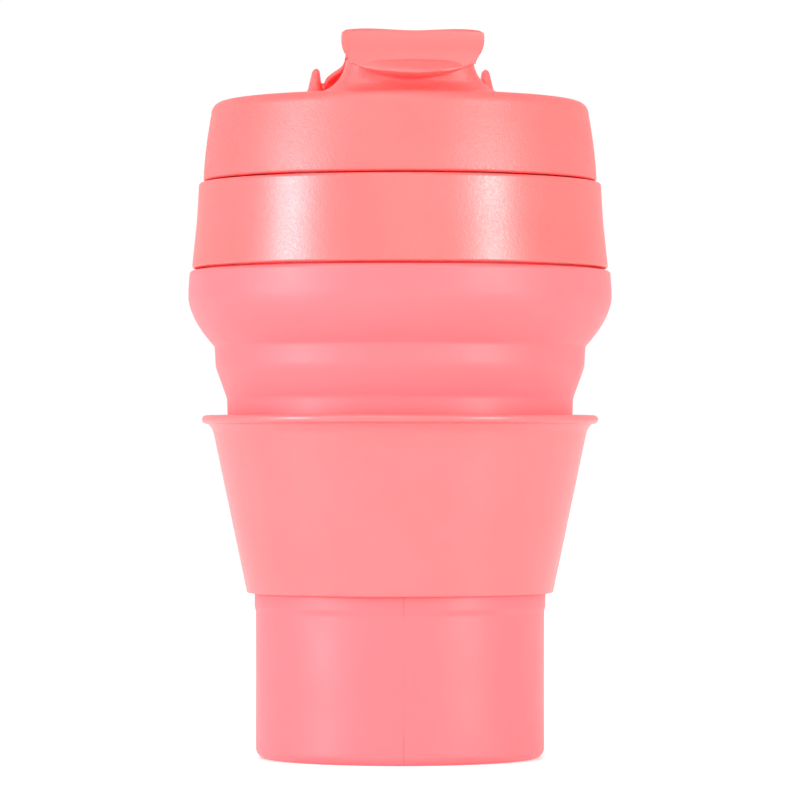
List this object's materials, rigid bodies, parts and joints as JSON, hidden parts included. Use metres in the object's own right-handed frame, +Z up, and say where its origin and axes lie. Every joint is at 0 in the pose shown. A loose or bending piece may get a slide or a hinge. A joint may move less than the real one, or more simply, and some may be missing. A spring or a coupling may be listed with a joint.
{
  "type": "collapsible travel cup",
  "caption": "Travel cup with a stepped silicone body that folds flat, a hard collar, a sliding flared grip sleeve, and a screw lid with a raised mouthpiece under a hinged flap.",
  "frame": {"origin": "centre of the foot, on the surface that the cup stands on", "axes": "+Z up along the cup's axis, -Y towards the mouthpiece, +X to the right of someone facing the mouthpiece"},
  "size_m": [0.0952, 0.0952, 0.1608],
  "materials": {
    "silicone_body": "smooth matte silicone",
    "hard_plastic": "fine spark-eroded satin polypropylene",
    "seal_silicone": "smooth soft silicone"
  },
  "bodies": {
    "body": {"base_cup": "silicone_body", "fold_web_1": "silicone_body"},
    "first_step": {"tier_1": "silicone_body", "fold_web_2": "silicone_body"},
    "second_step": {"tier_2": "silicone_body", "fold_web_3": "silicone_body"},
    "third_step": {"tier_3": "silicone_body", "fold_web_4": "silicone_body"},
    "rim": {"rim_band": "silicone_body", "collar": "hard_plastic", "neck_ring": "hard_plastic"},
    "grip_sleeve": {"sleeve": "hard_plastic"},
    "gasket": {"lid_gasket": "seal_silicone"},
    "lid": {"lid_shell": "hard_plastic", "lid_spout": "hard_plastic", "hinge_ears": "hard_plastic"},
    "flap_lever": {"flap": "hard_plastic", "flap_plug": "seal_silicone"}
  },
  "joints": [
    {"name": "fold_1", "type": "slide", "parent": "body", "child": "first_step", "axis": [0, 0, -1], "range_m": [0, 0.0156], "deforming": ["fold_web_1"]},
    {"name": "fold_2", "type": "slide", "parent": "first_step", "child": "second_step", "axis": [0, 0, -1], "range_m": [0, 0.0156], "deforming": ["fold_web_2"]},
    {"name": "fold_3", "type": "slide", "parent": "second_step", "child": "third_step", "axis": [0, 0, -1], "range_m": [0, 0.0158], "deforming": ["fold_web_3"]},
    {"name": "fold_4", "type": "slide", "parent": "third_step", "child": "rim", "axis": [0, 0, -1], "range_m": [0, 0.014], "deforming": ["fold_web_4"]},
    {"name": "sleeve_slide", "type": "slide", "parent": "body", "child": "grip_sleeve", "axis": [0, 0, -1], "range_m": [0, 0.037]},
    {"name": "lid_lift", "type": "slide", "parent": "rim", "child": "gasket", "axis": [0, 0, -1], "range_m": [-0.024, 0]},
    {"name": "lid_turn", "type": "hinge", "parent": "gasket", "child": "lid", "pos_m": [0, 0, 0.1383], "axis": [0, 0, -1], "range_deg": [-360, 0]},
    {"name": "flap_hinge", "type": "hinge", "parent": "lid", "child": "flap_lever", "pos_m": [0, -0.002, 0.1499], "axis": [-1, 0, 0], "range_deg": [0, 150]}
  ],
  "couplings": [
    {"joint": "fold_2", "follows": "fold_1", "ratio": 1},
    {"joint": "fold_3", "follows": "fold_1", "ratio": 1.0128},
    {"joint": "fold_4", "follows": "fold_1", "ratio": 0.89744},
    {"joint": "sleeve_slide", "follows": "fold_1", "ratio": 2.3718},
    {"joint": "lid_turn", "follows": "lid_lift", "rad_per_m": 261.8}
  ]
}
